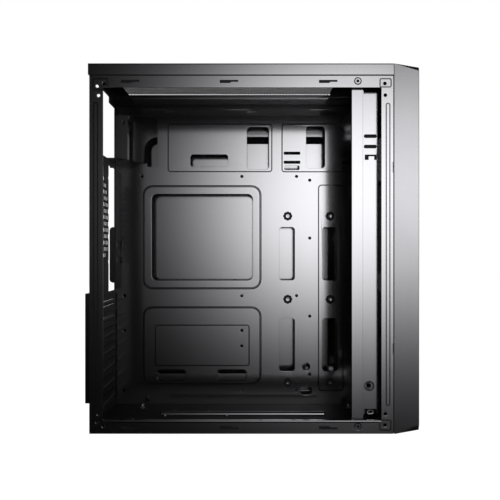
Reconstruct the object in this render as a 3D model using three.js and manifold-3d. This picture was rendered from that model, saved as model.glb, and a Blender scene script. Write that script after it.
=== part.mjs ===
// Empty mid-tower computer chassis with its left side panel taken off, in millimetres, +Z up.
// +X is the front, -Y the open left side. The origin is on the floor, under the middle of the
// whole object's box. Inside the chassis group, x runs forward from the rear wall's outer face,
// y runs from the open side to the right side panel, and z runs up from the chassis underside.
import * as THREE from "three";
import { mergeVertices } from "three/addons/utils/BufferGeometryUtils.js";
import Module from "manifold-3d";

const wasm = await Module();
wasm.setup();

// Driving dimensions
const SHEET = 1; // steel sheet thickness
const GAP = 0.3; // clearance between parts that touch
const DEPTH = 338; // rear wall's outer face to the front panel's outer face
const RIGHT = 183; // open side flanges to the right flanges' outer face
const FRAME_TOP = 397.5; // underside to the top frame's upper face
const HEIGHT = 411.1; // underside to the top cover's upper face
const RAIL_LOW = 14.9; // height of the bottom side rails
const RAIL_TOP = 384.8; // lower edge of the top side rails
const UPRIGHT = 15.3; // width of the rear upright, facing the open side
const FRONT_UPRIGHT = 13.5; // width of the front upright
const TRAY = 160; // board tray's near face, from the open side
const FOOT = 7; // height of the rubber feet
const TAB = 10.8; // how far the side panel's finger tab stands out behind
const BEZEL_BACK = DEPTH + 0.4;
const BEZEL_FRONT = 370.4;
const BEZEL_TAPER = 18.6; // each side of the bezel leans in by this much at the front
const PANEL_BULGE = 5.7; // how far the side panel's pressed field stands out
const SLOT_PITCH = 20.32;
const SLOT_TOP = 138.4; // centre of the highest expansion slot
const SLOT_COUNT = 7;
const SCREWED_SLOTS = 6;
const OUT_RIGHT = RIGHT + GAP + SHEET + PANEL_BULGE;

// Materials
const finish = (color, roughness, metalness) =>
  new THREE.MeshStandardMaterial({ color, roughness, metalness });
const blackSteel = finish(0x131314, 0.36, 0.3);
const blackPlastic = finish(0x18181a, 0.45, 0);
const rubber = finish(0x101010, 0.85, 0);
const zinc = finish(0xb4b7ba, 0.3, 0.9);
const circuit = finish(0x12301c, 0.5, 0);
const clear = finish(0xe8eef5, 0.2, 0);

// Solids: a closed three.js geometry becomes a manifold solid, and a solid becomes a geometry.
function solid(geometry) {
  const bare = geometry.clone();
  bare.deleteAttribute("normal");
  bare.deleteAttribute("uv");
  const merged = mergeVertices(bare, 1e-4);
  const vertProperties = new Float32Array(merged.attributes.position.array);
  const triVerts = new Uint32Array(merged.index.array);
  return new wasm.Manifold(new wasm.Mesh({ numProp: 3, vertProperties, triVerts }));
}

function geometryOf(body) {
  const mesh = body.getMesh();
  const geometry = new THREE.BufferGeometry();
  geometry.setAttribute("position", new THREE.BufferAttribute(mesh.vertProperties, 3));
  geometry.setIndex(new THREE.BufferAttribute(mesh.triVerts, 1));
  geometry.computeVertexNormals();
  return geometry;
}

const join = (...bodies) => bodies.reduce((sum, body) => sum.add(body));
const cut = (body, ...holes) => holes.reduce((left, hole) => left.subtract(hole), body);

// A block between two corners.
function block(x0, x1, y0, y1, z0, z1) {
  const geometry = new THREE.BoxGeometry(x1 - x0, y1 - y0, z1 - z0);
  return solid(geometry.translate((x0 + x1) / 2, (y0 + y1) / 2, (z0 + z1) / 2));
}

const AXIS = {
  x: new THREE.Vector3(1, 0, 0),
  y: new THREE.Vector3(0, 1, 0),
  z: new THREE.Vector3(0, 0, 1),
};
const FACING = {
  x: new THREE.Matrix4().makeBasis(AXIS.y, AXIS.z, AXIS.x),
  y: new THREE.Matrix4().makeBasis(AXIS.z, AXIS.x, AXIS.y),
  z: new THREE.Matrix4().makeBasis(AXIS.x, AXIS.y, AXIS.z),
};

// A shape pushed along an axis from one place to another. The shape's own two coordinates are
// (y, z) for axis x, (z, x) for axis y and (x, y) for axis z.
function push(shape, axis, from, to, curveSegments = 4) {
  const depth = to - from;
  const geometry = new THREE.ExtrudeGeometry(shape, { depth, bevelEnabled: false, curveSegments });
  return solid(geometry.translate(0, 0, from).applyMatrix4(FACING[axis]));
}

// A rectangle with rounded corners, from (a0, b0) to (a1, b1).
function rounded(a0, a1, b0, b1, r) {
  const shape = new THREE.Shape();
  shape.moveTo(a0 + r, b0);
  shape.lineTo(a1 - r, b0);
  shape.absarc(a1 - r, b0 + r, r, -Math.PI / 2, 0, false);
  shape.lineTo(a1, b1 - r);
  shape.absarc(a1 - r, b1 - r, r, 0, Math.PI / 2, false);
  shape.lineTo(a0 + r, b1);
  shape.absarc(a0 + r, b1 - r, r, Math.PI / 2, Math.PI, false);
  shape.lineTo(a0, b0 + r);
  shape.absarc(a0 + r, b0 + r, r, Math.PI, Math.PI * 1.5, false);
  return shape;
}

const polygon = (points) => new THREE.Shape(points.map(([a, b]) => new THREE.Vector2(a, b)));

// A round bar along an axis through (a, b), in the two coordinates that push uses.
function bar(axis, a, b, r, from, to, sides = 16) {
  const geometry = new THREE.CylinderGeometry(r, r, to - from, sides);
  geometry.rotateX(Math.PI / 2).translate(a, b, (from + to) / 2);
  return solid(geometry.applyMatrix4(FACING[axis]));
}

// A window through a wall that faces the open side: x and z limits, corner radius.
const sideWindow = (x0, x1, z0, z1, y0, y1, r) => push(rounded(z0, z1, x0, x1, r), "y", y0, y1);

// A rectangle ring in the (y, z) plane at x, as points in order.
const ring = (x, y0, y1, z0, z1) => [
  [x, y0, z0],
  [x, y1, z0],
  [x, y1, z1],
  [x, y0, z1],
];

// A six-sided body between two four-sided rings; the first ring lies lower on the axis.
function wedge(low, high) {
  const position = new Float32Array([...low, ...high].flat());
  const geometry = new THREE.BufferGeometry();
  geometry.setAttribute("position", new THREE.BufferAttribute(position, 3));
  const index = [0, 2, 1, 0, 3, 2, 4, 5, 6, 4, 6, 7];
  for (let i = 0; i < 4; i++) {
    const j = (i + 1) % 4;
    index.push(i, j, j + 4, i, j + 4, i + 4);
  }
  geometry.setIndex(index);
  return solid(geometry);
}

const tower = new THREE.Group();
const chassis = new THREE.Group();
chassis.position.set(-(BEZEL_FRONT - TAB) / 2, -(OUT_RIGHT - SHEET) / 2, FOOT);
tower.add(chassis);

function part(name, body, material) {
  const mesh = new THREE.Mesh(geometryOf(body), material);
  mesh.name = name;
  chassis.add(mesh);
}

// Side rails: the near one and its twin on the right, with the three hook slots that the side
// panels catch in and the two holes of the front column's screws.
const NEAR_SLOTS = [45.4, 155.3, 265.4];
const FAR_SLOTS = [53, 163.9, 274.8];
const SLOT_LEVELS = { low: 6.7, high: 391.2 }; // height of the slots' centres
const NEAR_SLOT_LENGTH = 20.6;
const FAR_SLOT_LENGTH = 32;
const HALF_SLOT = 1.7; // half of a slot's height
const COLUMN_SCREW = 298.3;
const COLUMN_SCREW_LEVELS = { low: 8.1, high: 391.8 };
const COLUMN_SCREW_HOLE = 1.8;

function railSlots(level, x, length, y0, y1) {
  return block(x - length / 2, x + length / 2, y0, y1, level - HALF_SLOT, level + HALF_SLOT);
}

function railCuts(end) {
  const level = SLOT_LEVELS[end];
  return [
    ...NEAR_SLOTS.map((x) => railSlots(level, x, NEAR_SLOT_LENGTH, -1, 2)),
    ...FAR_SLOTS.map((x) => railSlots(level, x, FAR_SLOT_LENGTH, RIGHT - 2, RIGHT + 1)),
    bar("y", COLUMN_SCREW_LEVELS[end], COLUMN_SCREW, COLUMN_SCREW_HOLE, -1, 2, 12),
  ];
}

// Floor of the chassis with both bottom side rails folded up.
const FEET = [
  [40, 48],
  [40, 136],
  [305, 48],
  [305, 136],
];
const STEM = 3; // radius of a foot's stem
const floorHoles = FEET.map(([x, y]) => bar("z", x, y, STEM + 0.4, -1, 3));
part(
  "bottom_panel",
  cut(
    join(
      block(SHEET + GAP, DEPTH - SHEET - GAP, 0, RIGHT, 0, SHEET),
      block(0, DEPTH, 0, SHEET, 0, RAIL_LOW),
      block(0, DEPTH, RIGHT - SHEET, RIGHT, 0, RAIL_LOW),
    ),
    ...floorHoles,
    ...railCuts("low"),
  ),
  blackSteel,
);

// Top frame: both top side rails, their inward flanges and the cross strip at the front.
const TOP_FLANGE = 14;
const CROSS = 318;
part(
  "top_frame",
  cut(
    join(
      block(0, DEPTH, 0, SHEET, RAIL_TOP, FRAME_TOP),
      block(0, DEPTH, RIGHT - SHEET, RIGHT, RAIL_TOP, FRAME_TOP),
      block(SHEET + GAP, DEPTH, 0, TOP_FLANGE, FRAME_TOP - SHEET, FRAME_TOP),
      block(SHEET + GAP, DEPTH, RIGHT - TOP_FLANGE, RIGHT, FRAME_TOP - SHEET, FRAME_TOP),
      block(CROSS, DEPTH, 0, RIGHT, FRAME_TOP - SHEET, FRAME_TOP),
    ),
    ...railCuts("high"),
  ),
  blackSteel,
);

// Top cover: outer sheet with a lip down each side and at the rear.
const LIP = 398.8;
part(
  "top_cover",
  join(
    block(-GAP - SHEET, DEPTH, -SHEET, RIGHT + SHEET + GAP, HEIGHT - SHEET, HEIGHT),
    block(-GAP - SHEET, DEPTH, -SHEET, 0, LIP, HEIGHT),
    block(-GAP - SHEET, DEPTH, RIGHT + GAP, RIGHT + SHEET + GAP, LIP, HEIGHT),
    block(-GAP - SHEET, -GAP, -SHEET, RIGHT + SHEET + GAP, LIP, HEIGHT),
  ),
  blackSteel,
);

// Rear wall: the sheet, an upright folded forward at each side, the ledge that the slot screws
// bite into, and the openings for the power supply, the board's connectors and the cards.
const slotCentre = (k) => SLOT_TOP - SLOT_PITCH * k;
const slots = Array.from({ length: SLOT_COUNT }, (_, k) => k);
const LEDGE = 34.3; // near face of the ledge
const LEDGE_OUT = 9.5;
const SCREW_RISE = SLOT_PITCH / 2; // a slot screw sits this much above its slot's centre
const SCREW_OUT = 5;
const THUMB_DEPTH = 176.5;
const THUMBS = [60, 318];
const wallTop = HEIGHT - SHEET - GAP;
const CONNECTORS = { y0: 112.7, y1: 157.2, z0: 151.9, z1: 310.7 };
const POWER_OPENING = [
  [14, 318.8],
  [157, 318.8],
  [157, 390.2],
  [118, 390.2],
  [118, 398.4],
  [14, 398.4],
];
const slotCutsRear = slots.flatMap((k) => {
  const z = slotCentre(k);
  const opening = block(-1, 2, 45, 150, z - 6.5, z + 6.5);
  const notch = block(-1, 2, LEDGE - 2.2, LEDGE, z - 8, z + 8);
  return k < SCREWED_SLOTS ? [opening, notch] : [opening];
});
const screwLevels = slots.slice(0, SCREWED_SLOTS).map((k) => slotCentre(k) + SCREW_RISE);
part(
  "rear_panel",
  cut(
    join(
      block(0, SHEET, SHEET + GAP, RIGHT - SHEET - GAP, SHEET + GAP, wallTop),
      block(0, SHEET, 0, RIGHT, RAIL_LOW + GAP, RAIL_TOP - GAP),
      block(0, UPRIGHT, 0, SHEET, RAIL_LOW + GAP, RAIL_TOP - GAP),
      block(0, UPRIGHT, RIGHT - SHEET, RIGHT, RAIL_LOW + GAP, RAIL_TOP - GAP),
      block(-LEDGE_OUT, 0.5, LEDGE, LEDGE + SHEET, 30, 152.8),
    ),
    push(polygon(POWER_OPENING), "x", -1, 2),
    block(-1, 2, CONNECTORS.y0, CONNECTORS.y1, CONNECTORS.z0, CONNECTORS.z1),
    ...slotCutsRear,
    ...screwLevels.map((z) => bar("y", z, -SCREW_OUT, 1.8, LEDGE - 1, LEDGE + 2, 10)),
    ...THUMBS.map((z) => bar("x", THUMB_DEPTH, z, 2.1, -1, 2, 12)),
  ),
  blackSteel,
);

// Blanking covers of the expansion slots, each with a bent tab under its screw.
const COVER_NEAR = LEDGE - GAP - SHEET;
slots.forEach((k) => {
  const z = slotCentre(k);
  const screwed = k < SCREWED_SLOTS;
  const start = screwed ? COVER_NEAR : 38;
  const plate = block(SHEET + GAP, 2 * SHEET + GAP, start, 153, z - 9.1, z + 9.1);
  const rib = push(rounded(52, 148, z - 2.5, z + 2.5, 1), "x", 2 * SHEET, 2 * SHEET + 1);
  const tab = block(-8.4, SHEET + 1, COVER_NEAR, COVER_NEAR + SHEET, z - 7.5, z + 7.5);
  const hole = bar("y", z + SCREW_RISE, -SCREW_OUT, 3.6, COVER_NEAR - 1, COVER_NEAR + 2, 12);
  const nextHole = bar("y", z - SCREW_RISE, -SCREW_OUT, 3.6, COVER_NEAR - 1, COVER_NEAR + 2, 12);
  const body = screwed ? cut(join(plate, rib, tab), hole, nextHole) : join(plate, rib);
  part(`slot_cover_${k + 1}`, body, blackSteel);
});

// Slot screws: a round head against the tab, and a shank in the ledge.
screwLevels.forEach((z, k) => {
  const head = bar("y", z, -SCREW_OUT, 2.8, COVER_NEAR - 2.2, COVER_NEAR - 0.4, 12);
  const shank = bar("y", z, -SCREW_OUT, 1.4, COVER_NEAR - 0.5, LEDGE + SHEET + 1.5, 10);
  part(`slot_screw_${k + 1}`, join(head, shank), zinc);
});

// Cover over the slot screws, a narrow housing open towards the rear wall.
const HOUSE = { out: 10.6, near: 28, far: 50, low: 28.1, top: 154 };
part(
  "slot_screw_cover",
  cut(
    block(-HOUSE.out, -GAP, HOUSE.near, HOUSE.far, HOUSE.low, HOUSE.top),
    block(-HOUSE.out + 0.8, 1, HOUSE.near + 0.8, HOUSE.far - 0.8, HOUSE.low + 0.8, HOUSE.top - 0.8),
  ),
  blackSteel,
);

// Front panel: steel wall behind the bezel with two round fan openings and its uprights.
const frontBack = DEPTH - SHEET;
const CLIP_LEVELS = [94.6, 296];
const CLIP_INSET = 12;
const CLIPS = CLIP_LEVELS.flatMap((z) => [CLIP_INSET, RIGHT - CLIP_INSET].map((y) => [y, z]));
const clipWindows = CLIPS.map(([y, z]) =>
  block(frontBack - 1, DEPTH + 1, y - 4, y + 4, z - 6, z + 6),
);
const FAN_RADIUS = 57;
const FRONT_FANS = [
  [91.5, 98],
  [91.5, 232],
];
part(
  "front_panel",
  cut(
    join(
      block(frontBack, DEPTH, SHEET + GAP, RIGHT - SHEET - GAP, SHEET + GAP, FRAME_TOP - SHEET - GAP),
      block(frontBack, DEPTH, 0, RIGHT, RAIL_LOW + GAP, RAIL_TOP - GAP),
      block(DEPTH - FRONT_UPRIGHT, DEPTH, 0, SHEET, RAIL_LOW + GAP, RAIL_TOP - GAP),
      block(DEPTH - FRONT_UPRIGHT, DEPTH, RIGHT - SHEET, RIGHT, RAIL_LOW + GAP, RAIL_TOP - GAP),
    ),
    ...FRONT_FANS.map(([y, z]) => bar("x", y, z, FAN_RADIUS, frontBack - 1, DEPTH + 1, 24)),
    push(rounded(60, 123, 340, 372, 4), "x", frontBack - 1, DEPTH + 1),
    ...clipWindows,
  ),
  blackSteel,
);

// Board tray: one sheet, made as three rows of panels that meet at hairline seams. Each panel
// runs from the last one's end to its own, round one opening: x0, x1, z0, z1, corner radius.
const TRAY_ROWS = {
  low: {
    from: SHEET + GAP,
    to: 150,
    ends: [115, 200, 255, 335],
    openings: [
      [55.9, 94.5, 31.4, 47, 5],
      [134.9, 174.2, 31.4, 47, 5],
      [217, 237.5, 44.2, 114.2, 4],
      [273.8, 294.5, 44.2, 114.2, 4],
    ],
  },
  mid: {
    from: 150 + GAP,
    to: 300,
    ends: [200, 255, 335],
    openings: [
      [48.8, 182.2, 163.9, 277.9, 7],
      [217, 237.5, 164.3, 233.9, 4],
      [273.8, 294.5, 164.3, 233.9, 4],
    ],
  },
  top: {
    from: 300 + GAP,
    to: 381.6,
    ends: [78, 162, 228, 335],
    openings: [
      [17.7, 56.6, 321, 378, 4],
      [99.8, 149.5, 313.9, 330, 6],
      [174.4, 203.4, 310.3, 366.5, 4.6],
      [252.4, 277.4, 311.9, 367.5, 4.6],
    ],
  },
};
Object.entries(TRAY_ROWS).forEach(([row, { from, to, ends, openings }]) =>
  openings.forEach(([x0, x1, z0, z1, r], k) => {
    const start = k === 0 ? SHEET + GAP : ends[k - 1] + GAP;
    const panel = block(start, ends[k], TRAY, TRAY + SHEET, from, to);
    const opening = sideWindow(x0, x1, z0, z1, TRAY - 1, TRAY + 2, r);
    part(`tray_${row}_${k + 1}`, cut(panel, opening), blackSteel);
  }),
);

// Power supply shelf: a bracket in the top rear corner with a flange down the tray.
const SHELF = 317.5;
const SHELF_NEAR = 99;
const SHELF_LENGTH = 42.7; // along the tray
const shelfEdge = TRAY - GAP;
const shelfPlan = polygon([
  [SHEET + GAP, SHELF_NEAR],
  [13.7, SHELF_NEAR],
  [SHELF_LENGTH, shelfEdge],
  [SHEET + GAP, shelfEdge],
]);
const shelfFlange = [shelfEdge - SHEET, shelfEdge, SHELF - 5, SHELF + SHEET];
part(
  "psu_shelf",
  join(
    push(shelfPlan, "z", SHELF, SHELF + SHEET),
    block(SHEET + GAP, SHELF_LENGTH, ...shelfFlange),
  ),
  blackSteel,
);

// Front column: a folded strip from floor to top frame that the drive brackets screw to.
const columnSection = polygon([
  [292.8, 8],
  [305.8, 8],
  [305.8, 18],
  [322.3, 18],
  [322.3, 30],
  [321.3, 30],
  [321.3, 19],
  [304.8, 19],
  [304.8, 9],
  [292.8, 9],
]);
const columnFoot = (low, high) => [
  block(292.8, 305.8, SHEET + GAP, 9, low, low + SHEET),
  block(292.8, 305.8, 8, 9, Math.min(low, high), Math.max(low, high)),
];
part(
  "front_column",
  join(
    push(columnSection, "z", 18.7, 381.4),
    ...columnFoot(SHEET + GAP, 20),
    ...columnFoot(FRAME_TOP - 2 * SHEET - GAP, 380),
    block(292.8, 305.8, SHEET + GAP, 2 * SHEET + GAP, SHEET + GAP, RAIL_LOW - 2),
    block(292.8, 305.8, SHEET + GAP, 2 * SHEET + GAP, RAIL_TOP + 2, FRAME_TOP - SHEET - GAP),
  ),
  blackSteel,
);

// Column screws at the top and bottom rails.
Object.values(COLUMN_SCREW_LEVELS).forEach((z, k) => {
  const head = bar("y", z, COLUMN_SCREW, 3.2, -SHEET, -GAP, 16);
  const shank = bar("y", z, COLUMN_SCREW, 1.5, -0.5, SHEET, 12);
  part(`column_screw_${k + 1}`, join(head, shank), blackSteel);
});

// Rubber feet: a flat pad with a stem and a barb pushed through the floor.
const footProfile = [
  [0, -FOOT],
  [8, -FOOT],
  [9, -FOOT + 1],
  [9.5, -GAP],
  [STEM, -GAP],
  [STEM, SHEET + GAP],
  [STEM + 1.4, SHEET + GAP],
  [STEM - 1, SHEET + 3.5],
  [0, SHEET + 3.5],
].map(([r, z]) => new THREE.Vector2(r, z));
FEET.forEach(([x, y], k) => {
  const geometry = new THREE.LatheGeometry(footProfile, 20).rotateX(Math.PI / 2);
  part(`foot_${k + 1}`, solid(geometry.translate(x, y, 0)), rubber);
});

// Right side panel: a sheet with a pressed-out field, a rear flange for its thumbscrews, a finger
// tab behind the rear wall and six hooks that reach through the rails' slots and turn forward.
const panelNear = RIGHT + GAP;
const panelFar = panelNear + SHEET;
const fieldRing = (y, x0, x1, z0, z1) => [
  [x0, y, z0],
  [x0, y, z1],
  [x1, y, z1],
  [x1, y, z0],
];
const FIELD = { x0: 35.9, x1: 292.7, z0: 31.5, z1: 356.7, wall: 9.2 };
const field = (y0, y1, grow) =>
  wedge(
    fieldRing(y0, FIELD.x0 - grow, FIELD.x1 + grow, FIELD.z0 - grow, FIELD.z1 + grow),
    fieldRing(
      y1,
      FIELD.x0 + FIELD.wall - grow,
      FIELD.x1 - FIELD.wall + grow,
      FIELD.z0 + FIELD.wall - grow,
      FIELD.z1 - FIELD.wall + grow,
    ),
  );
const hookBody = (x, z) => {
  const stem = x + 15;
  const back = RIGHT - SHEET - 1;
  return join(
    block(stem - 4, stem, back - 1.2, panelNear + 0.2, z - 1, z + 1),
    block(stem - 4, stem + 8, back - 1.2, back, z - 1, z + 1),
  );
};
const hooks = Object.values(SLOT_LEVELS).flatMap((z) => FAR_SLOTS.map((x) => hookBody(x, z)));
part(
  "right_side_panel",
  cut(
    join(
      block(-GAP - SHEET, DEPTH - GAP, panelNear, panelFar, 0.5, LIP - GAP),
      field(panelFar - 0.2, OUT_RIGHT, 0.2),
      block(-GAP - SHEET, -GAP, 171, panelFar, 12, 384),
      push(rounded(panelNear, panelNear + SHEET, 160, 235.1, 0.2), "x", -TAB, 0, 1),
      ...hooks,
    ),
    field(panelNear - 0.4, OUT_RIGHT - SHEET, -0.6),
    ...THUMBS.map((z) => bar("x", THUMB_DEPTH, z, 2.2, -3, 1, 12)),
  ),
  blackSteel,
);

// Captive thumbscrews of the side panel.
THUMBS.forEach((z, k) => {
  const head = bar("x", THUMB_DEPTH, z, 4, -9, -1.7, 20);
  const shank = bar("x", THUMB_DEPTH, z, 1.7, -1.8, 5, 12);
  part(`thumbscrew_${k + 1}`, join(head, shank), blackSteel);
});

// Front bezel: a hollow plastic moulding whose sides lean in, with the fan window, the holes of
// its controls, four posts for the connector board and four clips through the front panel.
const WALL = 2.4;
const bezelSides = [-SHEET, RIGHT + SHEET + GAP];
const outerBezel = wedge(
  ring(BEZEL_BACK, bezelSides[0], bezelSides[1], 0, HEIGHT),
  ring(
    BEZEL_FRONT,
    bezelSides[0] + BEZEL_TAPER,
    bezelSides[1] - BEZEL_TAPER,
    0,
    HEIGHT,
  ),
);
const innerBezel = wedge(
  ring(BEZEL_BACK - 1, bezelSides[0] + WALL, bezelSides[1] - WALL, WALL, HEIGHT - WALL),
  ring(
    BEZEL_FRONT - WALL,
    bezelSides[0] + BEZEL_TAPER + WALL,
    bezelSides[1] - BEZEL_TAPER - WALL,
    WALL,
    HEIGHT - WALL,
  ),
);
const FACE_IN = BEZEL_FRONT - WALL;
const through = (y0, y1, z0, z1, r) =>
  push(rounded(y0, y1, z0, z1, r), "x", FACE_IN - 1, BEZEL_FRONT + 1);
const roundThrough = (y, r, sides) =>
  bar("x", y, CONTROL_ROW, r, FACE_IN - 1, BEZEL_FRONT + 1, sides);
const CONTROL_ROW = 380; // height of the buttons and sockets
const POWER = { y: 139, r: 7, travel: 2.5 };
const RESET = { y: 119, r: 3, travel: 1.5 };
const USB = [56, 76];
const JACKS = [92, 104];
const LIGHT = { y: 128.5, r: 1.5 };
const BOARD = { x: 351, y0: 44, y1: 150, z0: 368, z1: 392 };
const POSTS = [
  [48, 389],
  [146, 389],
  [48, 371],
  [146, 371],
];
const CLIP_TIP = 333; // how far back the clips reach through the front panel
const bezelShell = cut(
  outerBezel,
  innerBezel,
  through(38, 145, 26, 346, 6),
  roundThrough(POWER.y, POWER.r + 0.4, 28),
  roundThrough(RESET.y, RESET.r + 0.4, 20),
  roundThrough(LIGHT.y, LIGHT.r + 0.3, 12),
  ...USB.map((y) => through(y - 7, y + 7, CONTROL_ROW - 3.4, CONTROL_ROW + 3.4, 0.6)),
  ...JACKS.map((y) => roundThrough(y, 3.8, 16)),
);
const bezelClips = CLIPS.map(([y, z]) => {
  const clip = (x0, x1) => block(x0, x1, y - 3, y + 3, z - 5, z + 5);
  const inside = clip(BEZEL_BACK - 0.2, FACE_IN + 0.5).intersect(outerBezel);
  return join(clip(CLIP_TIP, BEZEL_BACK + 0.1), inside);
});
part(
  "front_bezel",
  join(
    bezelShell,
    ...bezelClips,
    ...POSTS.map(([y, z]) => bar("x", y, z, 2.5, BOARD.x + 1.6 + GAP, FACE_IN + 0.5, 12)),
  ),
  blackPlastic,
);

// Steel mesh behind the bezel's window.
part("front_mesh", block(FACE_IN - GAP - SHEET, FACE_IN - GAP, 32, 151, 20, 352), blackSteel);

// Connector board inside the bezel, and what stands on it.
const boardFace = BOARD.x + 1.6;
part("front_io_board", block(BOARD.x, boardFace, BOARD.y0, BOARD.y1, BOARD.z0, BOARD.z1), circuit);

function pushButton(name, y, r, travel) {
  const capBack = FACE_IN - travel - 2.5;
  const cap = bar("x", y, CONTROL_ROW, r, capBack, BEZEL_FRONT - 0.2, 28);
  const flange = bar("x", y, CONTROL_ROW, r + 1.6, capBack, FACE_IN - GAP, 28);
  const stem = bar("x", y, CONTROL_ROW, 1.5, capBack - 4, capBack + 0.5, 12);
  part(name, join(cap, flange, stem), blackPlastic);
  const switchFace = capBack - 4 - travel - GAP;
  const switchName = name.replace("button", "switch");
  const body = block(boardFace + GAP, switchFace, y - 3, y + 3, CONTROL_ROW - 3, CONTROL_ROW + 3);
  part(switchName, body, blackPlastic);
}
pushButton("power_button", POWER.y, POWER.r, POWER.travel);
pushButton("reset_button", RESET.y, RESET.r, RESET.travel);

const SOCKET_FLOOR = 356;
const socketFace = BEZEL_FRONT - GAP;
USB.forEach((y, k) => {
  const z = CONTROL_ROW;
  const shell = block(boardFace + GAP, socketFace, y - 6.6, y + 6.6, z - 3, z + 3);
  const mouth = block(SOCKET_FLOOR, BEZEL_FRONT + 1, y - 6, y + 6, z - 2.4, z + 2.4);
  const tongue = block(SOCKET_FLOOR - 0.5, BEZEL_FRONT - 1.5, y - 5.2, y + 5.2, z + 0.4, z + 2);
  part(`usb_port_${k + 1}`, join(cut(shell, mouth), tongue), zinc);
});
JACKS.forEach((y, k) => {
  const shell = bar("x", y, CONTROL_ROW, 3.4, boardFace + GAP, socketFace, 16);
  const bore = bar("x", y, CONTROL_ROW, 1.8, SOCKET_FLOOR, BEZEL_FRONT + 1, 12);
  part(`audio_jack_${k + 1}`, cut(shell, bore), blackPlastic);
});
const lightPipe = bar("x", LIGHT.y, CONTROL_ROW, LIGHT.r, boardFace + GAP, BEZEL_FRONT - 0.2, 12);
part("power_light", lightPipe, clear);

export default tower;
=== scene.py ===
import math

import bpy
import numpy as np
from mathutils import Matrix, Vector
from mathutils.geometry import delaunay_2d_cdt


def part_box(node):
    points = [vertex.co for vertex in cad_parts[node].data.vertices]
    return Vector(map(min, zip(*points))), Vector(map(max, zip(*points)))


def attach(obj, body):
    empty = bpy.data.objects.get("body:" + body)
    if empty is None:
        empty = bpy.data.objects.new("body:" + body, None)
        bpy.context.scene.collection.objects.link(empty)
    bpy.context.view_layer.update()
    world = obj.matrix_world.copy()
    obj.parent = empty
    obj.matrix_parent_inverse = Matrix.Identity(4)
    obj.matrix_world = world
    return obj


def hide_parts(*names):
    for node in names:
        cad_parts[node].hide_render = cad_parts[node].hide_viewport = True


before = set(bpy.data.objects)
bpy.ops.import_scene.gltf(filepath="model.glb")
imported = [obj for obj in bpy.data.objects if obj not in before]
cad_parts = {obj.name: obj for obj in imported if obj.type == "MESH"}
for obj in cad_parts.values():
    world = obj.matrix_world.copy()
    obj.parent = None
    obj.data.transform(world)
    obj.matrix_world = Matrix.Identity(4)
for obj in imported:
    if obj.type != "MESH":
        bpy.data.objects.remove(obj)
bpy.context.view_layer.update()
CORNER = np.array(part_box("bottom_panel")[0]) * 1000  # rear, open-side, lowest corner of the chassis

# ---------------------------------------------------------------------------------------------
# Board tray. One steel sheet, punched and pressed in a die: narrow pressed lines stiffen it, the
# punched edges are a little rounded on the punch side, and it is powder coated black. The board's
# standoffs screw into small seats, each with a disc of painted shade behind its opening.
# ---------------------------------------------------------------------------------------------
PLANES = {  # a sheet's two directions, and the way its face looks
    "side": ((1, 0, 0), (0, 0, 1), (0, -1, 0)),
    "wall": ((0, 1, 0), (0, 0, 1), (1, 0, 0)),
    "flat": ((1, 0, 0), (0, 1, 0), (0, 0, 1)),
}
ROLL_STEPS = (0.0, 0.12, 0.4, 1.0)  # shares of a rounded edge's width that carry a ring of points
WALL_STEPS = (0.0, 0.2, 0.4, 0.6, 0.8, 1.0)  # the same for the sloping wall of a pressed field


def rounded_loop(a0, a1, b0, b1, r, inset=0.0, steps=5):
    """Rounded rectangle drawn in by inset: four quarter circles about centres r in from the corners."""
    a0, a1, b0, b1, r = a0 + inset, a1 - inset, b0 + inset, b1 - inset, max(r - inset, 0.02)
    turn = np.linspace(0, math.pi / 2, steps + 1)
    corners = [(a1 - r, b0 + r, -1), (a1 - r, b1 - r, 0), (a0 + r, b1 - r, 1), (a0 + r, b0 + r, 2)]
    arcs = [
        np.c_[ca + r * np.cos(turn + q * math.pi / 2), cb + r * np.sin(turn + q * math.pi / 2)]
        for ca, cb, q in corners
    ]
    return np.concatenate(arcs)


def edge_distance(p, a0, a1, b0, b1, r):
    """Distance from a rounded rectangle's edge, below zero inside it."""
    q = np.abs(p - ((a0 + a1) / 2, (b0 + b1) / 2)) - ((a1 - a0) / 2 - r, (b1 - b0) / 2 - r)
    return np.hypot(*np.maximum(q, 0).T) + np.minimum(q.max(axis=1), 0) - r


def inside_loop(p, loop):
    """Even-odd rule: a point is inside when a ray from it crosses the loop an odd number of times."""
    a, b = loop, np.roll(loop, -1, axis=0)
    x, y = p[:, :1], p[:, 1:]
    spans = (a[:, 1] > y) != (b[:, 1] > y)
    rise = np.where(b[:, 1] == a[:, 1], 1e-9, b[:, 1] - a[:, 1])
    crossing = x < (b[:, 0] - a[:, 0]) * (y - a[:, 1]) / rise + a[:, 0]
    return (spans & crossing).sum(axis=1) % 2 == 1


def hole(a, b, r):
    """A round window: the rounded rectangle whose corner arcs meet."""
    return (a - r, a + r, b - r, b + r, r)


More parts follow.
